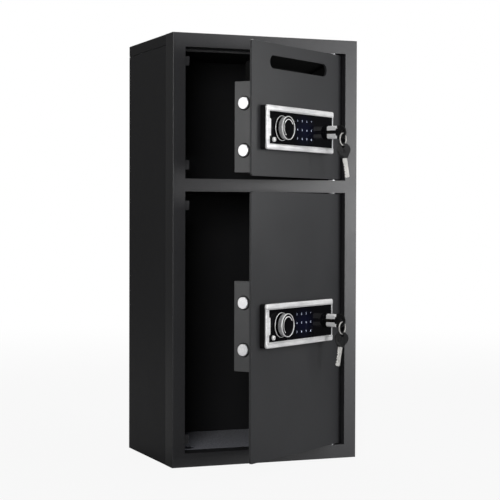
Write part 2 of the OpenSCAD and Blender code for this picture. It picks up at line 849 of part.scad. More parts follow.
// Blade and head of a key, with the key's line along Y and its tip towards +Y
module blade() {
    cuts = 5;
    cut = 1.2;
    color(bright) difference() {
        block([-blade_t / 2, 0, -blade_w / 2], [blade_t / 2, blade_len, blade_w / 2]);
        for (i = [0 : cuts - 1])
            translate([0, blade_len * (0.3 + 0.13 * i), blade_w / 2]) rotate([0, 90, 0])
                cylinder(h = blade_t * 2, r = cut + 0.5 * (i % 2), center = true);
    }
}
module head() {
    shoulder_y = -(head_back - shoulder);
    color(black) difference() {
        union() {
            block([-bow_t / 2, shoulder_y - 1, -neck_w / 2], [bow_t / 2, 0, neck_w / 2]);
            intersection() {
                translate([0, bow_d / 2 - bow_len, 0]) rod_x(-bow_t / 2, bow_t / 2, bow_d);
                block([-bow_t, -bow_len - 1, -bow_d], [bow_t, shoulder_y, bow_d]);
            }
        }
        translate([0, eye_in - bow_len, 0]) rod_x(-bow_t, bow_t, eye_d);
    }
}
module in_lock() {
    translate([key_x, head_back, 0]) children();
}
module key_ring() {
    color(bright) translate([key_x, eye_y, ring_z]) rotate([90, 0, 0])
        rotate_extrude() translate([ring_d / 2, 0]) circle(d = wire_d, $fn = 24);
}

// Hangs a key from the bottom of the ring, turned towards the front and tilted
module hanging(door) {
    tilt = (door == upper ? -1 : 1) * spare_tilt;
    translate([key_x, eye_y, spare_z]) rotate([0, 0, spare_turn]) rotate([tilt - 90, 0, 0])
        translate([0, bow_len - eye_in + wire_drop, 0]) children();
}

front_frame();
left_upright();
side_panel();  // left_side_panel
mirror([1, 0, 0]) side_panel();  // right_side_panel
top_cover();
ceiling_panel();
back_panel();
base_plate();
floor_pan();
carpets();
divider_shelf();
corner_brackets();
hinge_bushes();
door_plate(upper);  // upper_door_plate
deposit_hood();  // upper_deposit_hood
hinge_pins(upper);  // upper_hinge_pins
on_lock(upper) bolt_box();  // upper_bolt_box
on_lock(upper) battery_cover();  // upper_battery_cover
on_lock(upper) battery_pack();  // upper_battery_pack
on_lock(upper) solenoid();  // upper_solenoid
on_lock(upper) solenoid_pin();  // upper_solenoid_pin
on_lock(upper) circuit_board();  // upper_circuit_board
on_lock(upper) bolt_bar();  // upper_bolt_bar
on_lock(upper) bolts();  // upper_bolts
on_lock(upper) lock_housing();  // upper_lock_housing
on_lock(upper) bezel();  // upper_bezel
on_lock(upper) keypad_glass();  // upper_keypad_glass
on_lock(upper) start_button();  // upper_start_button
on_lock(upper) knob();  // upper_knob
on_lock(upper) knob_spindle();  // upper_knob_spindle
on_lock(upper) key_collar();  // upper_key_collar
on_lock(upper) key_plug();  // upper_key_plug
on_lock(upper) in_lock() blade();  // upper_key_blade
on_lock(upper) in_lock() head();  // upper_key_head
on_lock(upper) key_ring();  // upper_key_ring
on_lock(upper) hanging(upper) blade();  // upper_spare_blade
on_lock(upper) hanging(upper) head();  // upper_spare_head
door_plate(lower);  // lower_door_plate
hinge_pins(lower);  // lower_hinge_pins
on_lock(lower) bolt_box();  // lower_bolt_box
on_lock(lower) battery_cover();  // lower_battery_cover
on_lock(lower) battery_pack();  // lower_battery_pack
on_lock(lower) solenoid();  // lower_solenoid
on_lock(lower) solenoid_pin();  // lower_solenoid_pin
on_lock(lower) circuit_board();  // lower_circuit_board
on_lock(lower) bolt_bar();  // lower_bolt_bar
on_lock(lower) bolts();  // lower_bolts
on_lock(lower) lock_housing();  // lower_lock_housing
on_lock(lower) bezel();  // lower_bezel
on_lock(lower) keypad_glass();  // lower_keypad_glass
on_lock(lower) start_button();  // lower_start_button
on_lock(lower) knob();  // lower_knob
on_lock(lower) knob_spindle();  // lower_knob_spindle
on_lock(lower) key_collar();  // lower_key_collar
on_lock(lower) key_plug();  // lower_key_plug
on_lock(lower) in_lock() blade();  // lower_key_blade
on_lock(lower) in_lock() head();  // lower_key_head
on_lock(lower) key_ring();  // lower_key_ring
on_lock(lower) hanging(lower) blade();  // lower_spare_blade
on_lock(lower) hanging(lower) head();  // lower_spare_head
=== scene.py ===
import json
import math

import bmesh
import bpy
from mathutils import Matrix, Vector


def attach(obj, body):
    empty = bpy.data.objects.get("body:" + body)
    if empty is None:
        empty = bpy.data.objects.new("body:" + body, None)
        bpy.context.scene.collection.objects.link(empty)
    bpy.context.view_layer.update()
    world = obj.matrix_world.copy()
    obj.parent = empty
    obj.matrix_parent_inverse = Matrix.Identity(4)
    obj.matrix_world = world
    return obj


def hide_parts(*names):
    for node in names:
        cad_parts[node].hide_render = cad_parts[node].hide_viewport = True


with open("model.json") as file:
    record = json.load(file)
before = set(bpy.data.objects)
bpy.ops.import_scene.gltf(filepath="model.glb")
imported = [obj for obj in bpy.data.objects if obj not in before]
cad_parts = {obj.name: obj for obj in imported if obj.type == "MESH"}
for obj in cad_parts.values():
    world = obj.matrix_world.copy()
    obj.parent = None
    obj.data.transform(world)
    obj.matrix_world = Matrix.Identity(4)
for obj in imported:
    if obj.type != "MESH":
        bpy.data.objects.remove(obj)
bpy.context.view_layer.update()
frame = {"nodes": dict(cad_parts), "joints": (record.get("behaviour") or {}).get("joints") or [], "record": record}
mm = 0.001
doors = ("upper", "lower")
nodes, record = frame["nodes"], frame["record"]
slotOf = {part["node"]: part["material_slot"] for part in record["subparts"]}
bodyOf = {name: body for body, names in record["behaviour"]["bodies"].items() for name in names}
swingOf = {door: joint for door in doors for joint in frame["joints"]
           if joint["name"] == door + "_door_swing"}
print("cabinet and doors loaded:", len(nodes), "nodes")


def newObject(name, data):
    made = bpy.data.objects.new(name, data)
    bpy.context.scene.collection.objects.link(made)
    return made


# Camera, where the cabinet's corners put it, with its angles in degrees and its focal length in pixels

view = {
    "place": (-1.013, -2.571, 0.432), "turn": 21.86, "tilt": -1.23, "roll": 0.163,
    "focal": 1504, "side": 500, "sensor": 36,
}


def makeCamera():
    turn, tilt, roll = (math.radians(view[name]) for name in ("turn", "tilt", "roll"))
    data = bpy.data.cameras.new("photoCamera")
    data.sensor_width = view["sensor"]
    data.lens = view["focal"] / view["side"] * data.sensor_width
    camera = newObject("photoCamera", data)
    camera.matrix_world = (
        Matrix.Translation(view["place"])
        @ Matrix.Rotation(-turn, 4, "Z")
        @ Matrix.Rotation(math.pi / 2 + tilt, 4, "X")
        @ Matrix.Rotation(roll, 4, "Z")
    )
    bpy.context.scene.camera = camera


lamps = {
    "keyLamp": {
        "from": (1.35, -2.0, 0.5), "at": (0.0, -0.1, 0.45), "size": (0.8, 0.75), "watts": 22.5,
    },
    "rightLamp": {
        "from": (0.88, -0.62, 0.68), "at": (0.05, -0.2, 0.5), "size": (0.45, 0.55), "watts": 3.3,
    },
    "frontLamp": {
        "from": (-1.2, -2.15, 0.8), "at": (0.0, -0.15, 0.42), "size": (0.6, 0.7), "watts": 16.5,
    },
    "leftLamp": {
        "from": (-2.6, -0.5, 0.75), "at": (0.0, -0.1, 0.45), "size": (0.6, 1.4), "watts": 7.5,
    },
    "topLamp": {
        "from": (0.2, -0.6, 2.6), "at": (0.0, 0.0, 0.6), "size": (1.6, 1.2), "watts": 14,
    },
    "backLamp": {
        "from": (0.5, 2.1, 2.1), "at": (0.0, 0.0, 0.5), "size": (2.0, 1.4), "watts": 50,
    },
}


def makeLamps():
    for name, lamp in lamps.items():
        data = bpy.data.lights.new(name, "AREA")
        data.shape = "RECTANGLE"
        data.size, data.size_y = lamp["size"]
        data.energy = lamp["watts"]
        aim = Vector(lamp["at"]) - Vector(lamp["from"])
        turn = aim.to_track_quat("-Z", "Y").to_matrix().to_4x4()
        newObject(name, data).matrix_world = Matrix.Translation(lamp["from"]) @ turn


# One socket of a material, with arithmetic


class Wire:
    def __init__(self, tree, socket):
        self.tree, self.socket = tree, socket

    def node(self, kind, settings=None, inputs=None, output=0):
        made = self.tree.nodes.new(kind)
        for name, value in (settings or {}).items():
            setattr(made, name, value)
        for name, value in (inputs or {}).items():
            if isinstance(value, Wire):
                self.tree.links.new(value.socket, made.inputs[name])
            else:
                made.inputs[name].default_value = value
        return Wire(self.tree, made.outputs[output] if made.outputs else None)

    def maths(self, operation, *values):
        return self.node("ShaderNodeMath", {"operation": operation}, dict(enumerate(values)))

    def __add__(self, other):
        return self.maths("ADD", self, other)

    def __sub__(self, other):
        return self.maths("SUBTRACT", self, other)

    def __rsub__(self, other):
        return self.maths("SUBTRACT", other, self)

    def __mul__(self, other):
        return self.maths("MULTIPLY", self, other)

    def __truediv__(self, other):
        return self.maths("DIVIDE", self, other)

    __radd__, __rmul__ = __add__, __mul__

    def size(self):
        return self.maths("ABSOLUTE", self)

    def root(self):
        return self.maths("SQRT", self)

    def clear(self, low, high):  # 0 below low, 1 above high, smooth between
        settings = {"interpolation_type": "SMOOTHSTEP"}
        inputs = {"Value": self, "From Min": low, "From Max": high}
        return self.node("ShaderNodeMapRange", settings, inputs)

    def noise(self, scale, detail=3.0, rough=0.5, stretch=None, turn=0.0):
        at = self.placed(stretch, turn) if stretch else self
        inputs = {"Vector": at, "Scale": scale, "Detail": detail, "Roughness": rough}
        return at.node("ShaderNodeTexNoise", None, inputs)

    def cells(self, scale):
        return self.node("ShaderNodeTexVoronoi", None, {"Vector": self, "Scale": scale})

    def placed(self, stretch, turn):  # turned round Z, then stretched
        turned = self.node("ShaderNodeMapping", None, {"Vector": self, "Rotation": (0, 0, turn)})
        return turned.node("ShaderNodeMapping", None, {"Vector": turned, "Scale": stretch})

    def axis(self, name):
        return self.node("ShaderNodeSeparateXYZ", None, {"Vector": self}, name)

    def blend(self, low, high):  # colour from low to high as this value goes from 0 to 1
        made = self.node("ShaderNodeMix", {"data_type": "RGBA"}, {0: self}, 2)
        for place, colour in ((6, low), (7, high)):
            slot = made.socket.node.inputs[place]
            if isinstance(colour, Wire):
                self.tree.links.new(colour.socket, slot)
            else:
                slot.default_value = (*colour, 1)
        return made

    def bump(self, depth, strength, under=None):
        inputs = {"Height": self, "Distance": depth, "Strength": strength}
        if under:
            inputs["Normal"] = under
        return self.node("ShaderNodeBump", None, inputs)


def newMaterial(name):
    made = bpy.data.materials.new(name)
    made.use_nodes = True
    made.node_tree.nodes.clear()
    start = Wire(made.node_tree, None)
    return made, start.node("ShaderNodeTexCoord", None, None, "Object")


def surface(at, **inputs):
    named = {name.replace("_", " "): value for name, value in inputs.items()}
    shader = at.node("ShaderNodeBsdfPrincipled", None, named)
    at.node("ShaderNodeOutputMaterial", None, {"Surface": shader})


# Powder coat: fine grain, broad clouds and specks, over a shallow orange peel

powder = {
    "grain": 900.0, "cloud": 9.0, "speck": 720.0, "peel": 144.0, "weights": (0.55, 0.25, 0.2),
    "spread": (0.12, 0.1), "relief": (0.6, 0.4), "peelDepth": 1.4,
}


def powderCoat(name, look):
    made, at = newMaterial(name)
    grain = at.noise(powder["grain"], 3.0, 0.6)
    cloud = at.noise(powder["cloud"], 4.0, 0.5)
    speck = at.cells(powder["speck"]).clear(0.1, 0.55)
    fine, broad, dotted = powder["weights"]
    tone = (grain * fine + cloud * broad + speck * dotted).clear(0.25, 0.75)
    colour = tone.blend(look["dark"], look["light"])
    if "flank" in look:  # painted shade: the outer sides, so many metres from the middle, get colours as dark as the shell's, for the shade that falls on them
        flank = look["flank"]
        side = at.axis("X").size().clear(*flank["from"])
        colour = side.blend(colour, tone.blend(flank["dark"], flank["light"]))
    clouded, grained = powder["spread"]
    rough = look["rough"] + (cloud - 0.5) * clouded + (grain - 0.5) * grained
    peel = at.noise(powder["peel"], 2.0, 0.5).bump(look["depth"] * powder["peelDepth"], 0.5)
    raised, pitted = powder["relief"]
    height = grain * raised + speck * pitted
    surface(at, Base_Color=colour, Roughness=rough, Specular_IOR_Level=look["gloss"],
            Normal=height.bump(look["depth"], 0.6, peel))
    return made


def satinMetal(name, look):  # fine streaks along one direction, over broader clouds
    made, at = newMaterial(name)
    streak = at.noise(look["streak"], 4.0, 0.6, look.get("along"), look.get("turn", 0.0))
    cloud = at.noise(look.get("cloud", 60.0), 3.0, 0.5)
    colour = (streak * 0.7 + cloud * 0.3).clear(0.3, 0.7).blend(look["dark"], look["light"])
    rough = look["rough"] + (streak - 0.5) * look["spread"]
    surface(at, Base_Color=colour, Metallic=look["metal"], Roughness=rough,
            Normal=streak.bump(look["depth"], 0.5))
    return made


def mouldedPlastic(name, look):
    made, at = newMaterial(name)
    grain = at.noise(look["grain"], 3.0, 0.5)
    cloud = at.noise(40.0, 3.0, 0.5)
    colour = (grain * 0.6 + cloud * 0.4).clear(0.3, 0.7).blend(look["dark"], look["light"])
    rough = look["rough"] + (cloud - 0.5) * look["spread"] + (grain - 0.5) * 0.06
    surface(at, Base_Color=colour, Roughness=rough, Specular_IOR_Level=look["gloss"],
            Normal=grain.bump(look["depth"], 0.5))
    return made


def needleFelt(name, look):  # crossed fibres in tufts, with paler flecks
    made, at = newMaterial(name)
    fibre = at.noise(look["fibre"], 5.0, 0.75)
    across = at.noise(look["fibre"] * 0.5, 3.0, 0.6, (1, 6, 1), 0.6)
    tuft = at.cells(look["fibre"] * 0.4)
    pile = fibre * 0.5 + across * 0.3 + tuft * 0.2
    colour = pile.clear(0.3, 0.68).blend(look["dark"], look["light"])
    fleck = at.noise(look["fibre"] * 1.6, 1.0, 0.5).clear(0.66, 0.72)
    surface(at, Base_Color=fleck.blend(colour, look["fleck"]), Roughness=0.95 - pile * 0.1,
            Specular_IOR_Level=0.1, Sheen_Weight=0.1, Sheen_Roughness=0.5,
            Normal=pile.bump(look["depth"], 0.9))
    return made


lockTurn = math.radians(swingOf["lower"]["range_deg"][0])  # lays the trim's painted-reflection streaks and the knob side's streaks along the open doors' panels

finishes = {  # one for each slot of the record
    "frame_paint": powderCoat("framePaint", {
        "dark": (0.024, 0.024, 0.026), "light": (0.038, 0.038, 0.041),
        "rough": 0.38, "gloss": 0.5, "depth": 0.00012,
        # painted shade: the frame's outer sides are given darker colours, as shade
        "flank": {
            "from": (0.1743, 0.1749),
            "dark": (0.0105, 0.0105, 0.0112), "light": (0.0175, 0.0175, 0.019),
        },
    }),
    # painted shade: the shell's sheets get a darker copy of the frame's paint, for the shade on the cabinet's
    # sides
    "shell_paint": powderCoat("shellPaint", {
        "dark": (0.012, 0.012, 0.013), "light": (0.021, 0.021, 0.0225),
        "rough": 0.48, "gloss": 0.2, "depth": 0.00014,
    }),
    "door_paint": powderCoat("doorPaint", {
        "dark": (0.02, 0.0205, 0.022), "light": (0.032, 0.0325, 0.035),
        "rough": 0.42, "gloss": 0.45, "depth": 0.0001,
    }),
    "carpet": needleFelt("carpet", {
        "dark": (0.13, 0.135, 0.16), "light": (0.36, 0.37, 0.43), "fleck": (0.5, 0.52, 0.58),
        "fibre": 700.0, "depth": 0.0008,
    }),
    "bright_metal": satinMetal("polishedSteel", {
        "dark": (0.78, 0.78, 0.79), "light": (0.95, 0.95, 0.95), "streak": 300.0,
        "metal": 0.9, "rough": 0.32, "spread": 0.1, "depth": 0.00001,
    }),
    "zinc": satinMetal("zincPlate", {
        "dark": (0.42, 0.42, 0.44), "light": (0.68, 0.68, 0.7), "streak": 220.0,
        "along": (1, 1, 0.2), "metal": 1.0, "rough": 0.34, "spread": 0.18, "depth": 0.00003,
    }),
    "black_plastic": mouldedPlastic("blackPlastic", {
        "dark": (0.0035, 0.0035, 0.0038), "light": (0.009, 0.009, 0.0095), "grain": 1500.0,
        "rough": 0.44, "spread": 0.12, "gloss": 0.22, "depth": 0.00006,
    }),
    "black_gloss": mouldedPlastic("blackGloss", {
        "dark": (0.003, 0.003, 0.0035), "light": (0.004, 0.004, 0.005), "grain": 120.0,
        "rough": 0.1, "spread": 0.08, "gloss": 0.05, "depth": 0.000004,
    }),
    # painted reflection: the trim is near-white and mostly non-metal, and its streaks and clouds stand in for
    # reflected light
    "silver_trim": satinMetal("satinTrim", {
        "dark": (0.68, 0.68, 0.69), "light": (0.99, 0.99, 0.99), "streak": 100.0, "cloud": 40.0,
        "along": (0.16, 1, 1.5), "turn": lockTurn,
        "metal": 0.25, "rough": 0.32, "spread": 0.2, "depth": 0.00002,
    }),
    "brass": satinMetal("turnedBrass", {
        "dark": (0.5, 0.35, 0.12), "light": (0.75, 0.56, 0.24), "streak": 500.0,
        "metal": 1.0, "rough": 0.28, "spread": 0.15, "depth": 0.00002,
    }),
    "nickel": satinMetal("nickelPlate", {
        "dark": (0.5, 0.49, 0.47), "light": (0.78, 0.77, 0.74), "streak": 400.0,
        "along": (1, 1, 0.3), "metal": 0.4, "rough": 0.5, "spread": 0.14, "depth": 0.00001,
    }),
    "board": mouldedPlastic("boardGreen", {
        "dark": (0.01, 0.07, 0.035), "light": (0.02, 0.13, 0.07), "grain": 700.0,
        "rough": 0.35, "spread": 0.1, "gloss": 0.5, "depth": 0.00003,
    }),
}
knobSide = satinMetal("knobSide", {
    "dark": (0.28, 0.28, 0.29), "light": (0.62, 0.62, 0.63), "streak": 900.0,
    "along": (1, 0.15, 1), "turn": lockTurn,
    "metal": 0.35, "rough": 0.3, "spread": 0.15, "depth": 0.00002,
})
# painted reflection: a near-white, hardly metallic steel stands in for the bright reflections on the chrome parts
# it dresses
satinSteel = satinMetal("satinSteel", {
    "dark": (0.88, 0.88, 0.88), "light": (0.99, 0.99, 0.99), "streak": 500.0,
    "along": (1, 1, 0.4), "metal": 0.12, "rough": 0.3, "spread": 0.12, "depth": 0.00001,
})
# painted shade: the key plug is nearly black, for the shade inside the collar's slot
plugSteel = satinMetal("plugSteel", {
    "dark": (0.03, 0.028, 0.024), "light": (0.07, 0.066, 0.056), "streak": 600.0,
    "metal": 1.0, "rough": 0.35, "spread": 0.15, "depth": 0.00002,
})
# painted light: the bolt boxes get a lighter copy of the door paint, for the light on their faces
boxPaint = powderCoat("boxPaint", {
    "dark": (0.028, 0.0285, 0.03), "light": (0.044, 0.0445, 0.047),
    "rough": 0.36, "gloss": 0.8, "depth": 0.0001,
})
# painted shade: the deposit hood is nearly black, for the shade inside the slot
hoodPaint = powderCoat("hoodPaint", {
    "dark": (0.002, 0.002, 0.002), "light": (0.005, 0.005, 0.005),
    "rough": 0.7, "gloss": 0.1, "depth": 0.0001,
})


def keypadGlass(look):  # dark glass with a faint glow; its UVs are millimetres on a shut door
    made, at = newMaterial("keypadGlass")
    flat = at.node("ShaderNodeTexCoord", None, None, "UV")
    across = (flat.axis("X") - look["middle"][0]).size() / look["reach"][0]
    up = (flat.axis("Y") - look["middle"][1]).size() / look["reach"][1]
    far = (across * across + up * up).root()
    mist = at.noise(60.0, 2.0, 0.5)
    glow = (1.0 - far.clear(0.0, 1.0)) * (0.7 + mist * 0.6)
    smear = at.noise(35.0, 3.0, 0.5)
    rough = look["rough"] + (smear - 0.5) * look["spread"]
    surface(at, Base_Color=smear.blend(look["dark"], look["light"]), Roughness=rough,
            Specular_IOR_Level=look["gloss"], Emission_Color=glow.blend((0, 0, 0), look["glow"]),
            Emission_Strength=1.0)
    return made


panelGlass = keypadGlass({
    "dark": (0.002, 0.002, 0.0025), "light": (0.004, 0.004, 0.005),
    "rough": 0.08, "spread": 0.05, "gloss": 0.06,
    "glow": (0.001, 0.002, 0.012), "middle": (-1.0, 0.0), "reach": (44.0, 34.0),
})


def litFigures(look):
    made, at = newMaterial("figureLight")
    tone = at.noise(500.0, 2.0, 0.5).clear(0.3, 0.7)
    colour = tone.blend(look["dark"], look["light"])
    surface(at, Base_Color=colour, Roughness=0.5 + (tone - 0.5) * 0.1,
            Emission_Color=colour, Emission_Strength=look["strength"])
    return made


figureLight = litFigures({
    "dark": (0.55, 0.62, 0.85), "light": (0.75, 0.82, 1.0), "strength": 0.42,
})


def dressed(piece, finish):
    piece.data.materials.clear()
    piece.data.materials.append(finish)
    return piece


for nodeName, node in nodes.items():
    dressed(node, finishes[slotOf[nodeName]])
print("finishes made:", len(finishes))

# Modelling helpers: sizes and places are in mm, and each piece keeps its place in its mesh

weld = {"gap": 0.01, "fineGap": 0.002, "flat": 0.6}  # gaps to close in mm, bends to flatten in degrees
near = 0.1  # within this, a place counts as met
lap = 1.0  # by which pieces that are joined or cut overlap


def noneSelected():
    bpy.ops.object.select_all(action="DESELECT")


def only(piece):
    noneSelected()
    piece.select_set(True)
    bpy.context.view_layer.objects.active = piece


def startEdit(piece):
    only(piece)
    bpy.ops.object.mode_set(mode="EDIT")
    bpy.ops.mesh.select_mode(type="VERT")


def endEdit():
    bpy.ops.object.mode_set(mode="OBJECT")


def settle(piece):  # puts the object's place into its mesh
    only(piece)
    bpy.ops.object.transform_apply(location=True, rotation=True, scale=True)


def started(name):  # the primitive that was just added, as the start of a piece
    piece = bpy.context.object
    piece.name = piece.data.name = name
    settle(piece)
    return piece


def slab(name, low, high):  # a block between two corners
    middle = [(a + b) / 2 * mm for a, b in zip(low, high)]
    size = [(b - a) * mm for a, b in zip(low, high)]
    noneSelected()
    bpy.ops.mesh.primitive_cube_add(size=1, location=middle, scale=size)
    return started(name)


def rod(name, middle, radius, length, sides=48):  # a round bar along X
    noneSelected()
    bpy.ops.mesh.primitive_cylinder_add(
        vertices=sides, radius=radius * mm, depth=length * mm,
        location=[v * mm for v in middle], rotation=(0, math.pi / 2, 0),
    )
    return started(name)


def pickFaces(piece, test):
    bpy.ops.mesh.select_mode(type="FACE")
    bpy.ops.mesh.select_all(action="DESELECT")
    mesh = bmesh.from_edit_mesh(piece.data)
    for face in mesh.faces:
        if test(face):
            face.select_set(True)
    bmesh.update_edit_mesh(piece.data)


def pickEdges(piece, test):  # the test gets both ends of an edge
    bpy.ops.mesh.select_mode(type="EDGE")
    bpy.ops.mesh.select_all(action="DESELECT")
    mesh = bmesh.from_edit_mesh(piece.data)
    for edge in mesh.edges:
        if test(edge.verts[0].co / mm, edge.verts[1].co / mm):
            edge.select_set(True)
    bmesh.update_edit_mesh(piece.data)


def bevelled(piece, width, segments, test):  # rounds the edges that pass the test
    startEdit(piece)
    pickEdges(piece, test)
    bpy.ops.mesh.bevel(offset=width * mm, segments=segments, affect="EDGES")
    endEdit()


def stretched(piece, value, centre=(0, 0, 0), test=None):  # all of it, or only faces that pass
    startEdit(piece)
    if test:
        pickFaces(piece, test)
    else:
        bpy.ops.mesh.select_all(action="SELECT")
    bpy.ops.transform.resize(value=value, center_override=[v * mm for v in centre])
    endEdit()


def merged(piece):  # joins the loose triangles of a drawn piece into flat faces
    startEdit(piece)
    bpy.ops.mesh.select_all(action="SELECT")
    bpy.ops.mesh.remove_doubles(threshold=weld["gap"] * mm)
    bpy.ops.mesh.dissolve_limited(angle_limit=math.radians(weld["flat"]))
    endEdit()


def combined(first, second, operation):  # adds or cuts a second piece, which is used up
    only(first)
    step = first.modifiers.new("step", "BOOLEAN")
    step.object, step.operation, step.solver = second, operation, "EXACT"
    bpy.ops.object.modifier_apply(modifier=step.name)
    bpy.data.objects.remove(second)
    return first


def cut(piece, name, low, high):  # takes a block away
    return combined(piece, slab(name, low, high), "DIFFERENCE")


def smooth(piece, angle):
    only(piece)
    bpy.ops.object.shade_smooth_by_angle(angle=math.radians(angle))
    return piece


def roundEdges(piece, width, segments=2, angle=40):
    only(piece)
    bevel = piece.modifiers.new("roundEdges", "BEVEL")
    bevel.width, bevel.segments = width * mm, segments
    bevel.limit_method, bevel.angle_limit = "ANGLE", math.radians(angle)
    bpy.ops.object.modifier_apply(modifier=bevel.name)
    smooth(piece, angle)
    weighted = piece.modifiers.new("evenNormals", "WEIGHTED_NORMAL")
    weighted.keep_sharp = True
    bpy.ops.object.modifier_apply(modifier=weighted.name)
    return piece


def joined(parts, name):
    noneSelected()
    for part in parts:
        part.select_set(True)
    bpy.context.view_layer.objects.active = parts[0]
    bpy.context.view_layer.update()
    bpy.ops.object.join()
    parts[0].name = parts[0].data.name = name
    return parts[0]


def moved(piece, x=0, y=0, z=0):
    piece.data.transform(Matrix.Translation((x * mm, y * mm, z * mm)))
    return piece


def turned(name, profile, steps, sweep=360):  # spins a line of (radius, depth) points round Y
    noneSelected()
    bpy.ops.mesh.primitive_plane_add(size=mm, rotation=(math.pi / 2, 0, 0))
    piece = bpy.context.object
    piece.name = piece.data.name = name
    startEdit(piece)
    bpy.ops.mesh.select_all(action="SELECT")
    bpy.ops.mesh.merge(type="CENTER")
    here = (0, 0)
    for count, (radius, depth) in enumerate(profile):
        step = ((radius - here[0]) * mm, (depth - here[1]) * mm, 0)
        here = (radius, depth)
        if count:
            bpy.ops.mesh.extrude_region_move(TRANSFORM_OT_translate={"value": step})
        else:
            bpy.ops.transform.translate(value=step)
    bpy.ops.mesh.select_all(action="SELECT")
    bpy.ops.mesh.spin(steps=steps, angle=math.radians(sweep), center=(0, 0, 0), axis=(0, 1, 0))
    bpy.ops.mesh.select_all(action="SELECT")
    bpy.ops.mesh.remove_doubles(threshold=weld["fineGap"] * mm)
    bpy.ops.mesh.normals_make_consistent(inside=False)
    endEdit()
    settle(piece)
    return piece


def turnedPart(name, profile, steps, start, sweep):  # a part of a round, with its two ends closed
    piece = turned(name, profile, steps, sweep)
    startEdit(piece)
    bpy.ops.mesh.select_all(action="SELECT")
    bpy.ops.mesh.fill_holes(sides=len(profile))
    bpy.ops.mesh.select_all(action="SELECT")
    bpy.ops.mesh.normals_make_consistent(inside=False)
    endEdit()
    piece.data.transform(Matrix.Rotation(math.radians(start), 4, "Y"))
    return piece


def doorPlace(door):  # from a shut door, with its lock at height 0, to where the door stands
    swing = swingOf[door]
    pivot = Vector(swing["pos_m"])
    flat = Matrix.Translation((pivot.x, pivot.y, 0))
    turn = Matrix.Rotation(-math.radians(swing["range_deg"][0]), 4, "Z")
    return flat @ turn @ flat.inverted() @ Matrix.Translation((0, 0, pivot.z))


def drawn(nodeName):  # a copy of a drawn piece, to be worked on
    first, *others = nodeName.split("_")
    name = first + "".join(word.capitalize() for word in others)
    return newObject(name, nodes[nodeName].data.copy())


def shutCopy(nodeName, name):  # a drawn piece of the lower door, as it is when the door is shut
    piece = drawn(nodeName)
    piece.name = piece.data.name = name
    piece.data.transform(doorPlace("lower").inverted())
    return piece


def onBothDoors(piece, body, replaced=None):  # a copy with its own mesh for each door
    for door in doors:
        copy = newObject(door + piece.name[0].upper() + piece.name[1:], piece.data.copy())
        copy.data.transform(doorPlace(door))
        if replaced:
            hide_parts(door + "_" + replaced)
        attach(copy, door + "_" + body)
    bpy.data.objects.remove(piece)


# Folded sheet, plates and mouldings: the drawn shapes with their edges rounded by so many mm

cabinetEdges = {
    "front_frame": 0.8, "left_side_panel": 0.5, "right_side_panel": 0.5, "top_cover": 0.6,
    "back_panel": 0.3, "base_plate": 0.3, "divider_shelf": 0.4, "ceiling_panel": 0.3,
    "corner_brackets": 0.3, "carpets": 0.6,
}
doorEdges = {
    "door_plate": 1.3, "bolt_box": 0.4, "battery_cover": 0.4, "lock_housing": 1.0, "bolts": 0.3,
    "hinge_pins": 0.3,
}
hoodEdges = 0.4
weldedTo = {"front_frame": "left_upright"}
cabinet = {"side": 175.0, "front": -125.0, "top": 750.0}
tubeCorner = (1.7, 4)  # radius and segments


def onTubeCorner(place):
    return abs(abs(place.x) - cabinet["side"]) < near and abs(place.y - cabinet["front"]) < near


def softened(nodeName, width):
    piece, stoodFor = drawn(nodeName), [nodeName]
    if nodeName in weldedTo:
        combined(piece, drawn(weldedTo[nodeName]), "UNION")
        stoodFor.append(weldedTo[nodeName])
    merged(piece)
    if nodeName == "front_frame":
        bevelled(piece, *tubeCorner, lambda a, b: onTubeCorner(a) and onTubeCorner(b))
    roundEdges(piece, width)
    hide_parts(*stoodFor)
    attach(piece, bodyOf[nodeName])
    return piece


def makeSheets():
    for name, width in cabinetEdges.items():
        softened(name, width)
    for door in doors:
        pieces = {name: softened(door + "_" + name, width) for name, width in doorEdges.items()}
        # the key plug gets its nearly black finish, as painted shade
        dressed(nodes[door + "_key_plug"], plugSteel)
        # the bolt boxes get the lighter copy of the door paint, as painted light
        dressed(pieces["bolt_box"], boxPaint)
    # the hood gets its nearly black paint, as painted shade
    dressed(softened("upper_deposit_hood", hoodEdges), hoodPaint)
    print("edges rounded:", len(cabinetEdges) + len(doors) * len(doorEdges) + 1, "pieces")


# Paint in the seam between the frame's tubes and the shell's sheets, just below their faces

seam = {"front": -87.0, "back": -86.42, "below": 0.4, "thick": 1.5}


def makeSeam():
    front, back, thick = seam["front"], seam["back"], seam["thick"]
    side, top = cabinet["side"] - seam["below"], cabinet["top"] - seam["below"]
    filled = slab("seamPaint", (-side, front, top - thick), (side, back, top))
    for low in (-side, side - thick):
        leg = slab("leg", (low, front, seam["below"]), (low + thick, back, top))
        combined(filled, leg, "UNION")
    dressed(filled, finishes["shell_paint"])
    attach(filled, bodyOf["front_frame"])


# Bright bars above and below the glass, the rims beside it and the glass itself

bezel = {
    "left": -124.0, "right": 96.0, "top": 37.0, "bar": 10.0, "front": -138.0, "back": -134.0,
    "corner": (3.6, 6), "innerCorner": (1.2, 3), "crown": (2.2, 5),  # radius and segments
    "rimFront": -137.0, "rimLeft": 9.0, "rimRight": 1.8, "rimLow": -136.3, "rimEdge": (1.4, 3),
    "rimLap": 2.0, "rimIn": 0.1, "tab": 4.0, "tabTop": 14.8, "tabCorner": (2.5, 4), "edge": 0.3,
    "crease": 35,
}
glassEdge = 0.25


